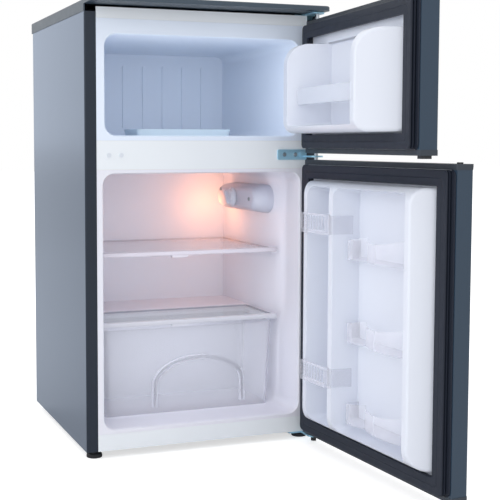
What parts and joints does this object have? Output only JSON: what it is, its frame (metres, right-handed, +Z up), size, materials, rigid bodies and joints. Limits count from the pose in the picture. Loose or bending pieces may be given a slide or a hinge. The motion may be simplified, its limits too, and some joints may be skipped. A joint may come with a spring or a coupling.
{
  "type": "mini fridge",
  "caption": "Free-standing compact fridge with a separate freezer door above, both doors standing open, glass shelves, crisper drawer and door racks.",
  "frame": {"origin": "on the floor, midway between the sides, in the plane of the cabinet's front flanges", "axes": "+X to the hinge side, +Y to the back, +Z up"},
  "size_m": [0.4968, 0.9332, 0.85],
  "materials": {
    "shell_paint": "satin",
    "rear_sheet": "satin",
    "worktop_plastic": "satin",
    "rail_white": "satin",
    "liner_white": "satin",
    "foam": "matte",
    "zinc": "satin",
    "plug_white": "satin",
    "foot_black": "matte",
    "evaporator_metal": "satin",
    "tube_copper": "satin",
    "system_black": "satin",
    "grommet_rubber": "matte",
    "tray_grey": "matte",
    "housing_white": "satin",
    "knob_white": "gloss",
    "screw_steel": "satin",
    "lamp_glass": "gloss",
    "drawer_clear": "gloss",
    "ice_tray_white": "satin",
    "shelf_glass": "gloss",
    "trim_white": "satin",
    "door_slate": "satin",
    "cap_grey": "satin",
    "gasket_black": "matte"
  },
  "bodies": {
    "cabinet": {"outer_shell": "shell_paint", "rear_panel": "rear_sheet", "base_pan": "rear_sheet", "worktop": "worktop_plastic", "top_rail": "rail_white", "mid_rail": "rail_white", "bottom_apron": "rail_white", "freezer_liner": "liner_white", "fridge_liner": "liner_white", "cabinet_foam": "foam", "top_hinge": "zinc", "top_hinge_pin": "zinc", "mid_hinge": "zinc", "mid_hinge_pin": "zinc", "bottom_hinge": "zinc", "bottom_hinge_pin": "zinc", "hinge_screws": "zinc", "hinge_hole_plugs": "plug_white", "rear_feet": "foot_black", "relay_box": "foot_black", "evaporator": "evaporator_metal", "suction_tube": "tube_copper", "capillary_tube": "tube_copper", "filter_drier": "tube_copper", "compressor": "system_black", "condenser": "system_black", "discharge_tube": "system_black", "compressor_grommets": "grommet_rubber", "drip_tray": "tray_grey", "thermostat_housing": "housing_white", "thermostat_body": "housing_white", "lamp_holder": "housing_white", "housing_screws": "screw_steel", "lamp_bulb": "lamp_glass"},
    "fridge_door": {"fridge_door_skin": "door_slate", "fridge_door_top_cap": "cap_grey", "fridge_door_bottom_cap": "cap_grey", "fridge_door_gasket": "gasket_black", "fridge_door_plugs": "cap_grey", "fridge_door_liner": "liner_white", "fridge_door_foam": "foam", "can_racks": "drawer_clear", "bottle_retainers": "drawer_clear"},
    "freezer_door": {"freezer_door_skin": "door_slate", "freezer_door_top_cap": "cap_grey", "freezer_door_bottom_cap": "cap_grey", "freezer_door_gasket": "gasket_black", "freezer_door_plugs": "cap_grey", "freezer_door_liner": "liner_white", "freezer_door_foam": "foam", "freezer_door_rail": "ice_tray_white"},
    "thermostat_knob_body": {"thermostat_knob": "knob_white"},
    "upper_shelf": {"upper_shelf_glass": "shelf_glass", "upper_shelf_trim": "trim_white"},
    "crisper_cover": {"crisper_cover_glass": "shelf_glass", "crisper_cover_trim": "trim_white"},
    "crisper": {"crisper_drawer": "drawer_clear"},
    "ice_tray_body": {"ice_tray": "ice_tray_white"},
    "foot_left": {"front_foot_left": "foot_black"},
    "foot_right": {"front_foot_right": "foot_black"}
  },
  "joints": [
    {"name": "fridge_door_hinge", "type": "hinge", "parent": "cabinet", "child": "fridge_door", "pos_m": [0.22, -0.03, 0.2883], "axis": [0, 0, 1], "range_deg": [-93.2, 36.8]},
    {"name": "freezer_door_hinge", "type": "hinge", "parent": "cabinet", "child": "freezer_door", "pos_m": [0.22, -0.03, 0.697], "axis": [0, 0, 1], "range_deg": [-84.8, 45.2]},
    {"name": "thermostat_turn", "type": "hinge", "parent": "cabinet", "child": "thermostat_knob_body", "pos_m": [0.15, 0.232, 0.474], "axis": [-1, 0, 0], "range_deg": [0, 270]},
    {"name": "upper_shelf_slide", "type": "slide", "parent": "cabinet", "child": "upper_shelf", "axis": [0, -1, 0], "range_m": [0, 0.13]},
    {"name": "crisper_cover_slide", "type": "slide", "parent": "cabinet", "child": "crisper_cover", "axis": [0, -1, 0], "range_m": [0, 0.13]},
    {"name": "crisper_slide", "type": "slide", "parent": "cabinet", "child": "crisper", "axis": [0, -1, 0], "range_m": [0, 0.13]},
    {"name": "ice_tray_lift", "type": "slide", "parent": "cabinet", "child": "ice_tray_body", "axis": [0, 0, 1], "range_m": [0, 0.1]},
    {"name": "foot_left_turn", "type": "hinge", "parent": "cabinet", "child": "foot_left", "pos_m": [-0.214, 0.024, 0.01], "axis": [0, 0, 1], "range_deg": [0, 1080]},
    {"name": "foot_right_turn", "type": "hinge", "parent": "cabinet", "child": "foot_right", "pos_m": [0.214, 0.024, 0.01], "axis": [0, 0, 1], "range_deg": [0, 1080]}
  ]
}
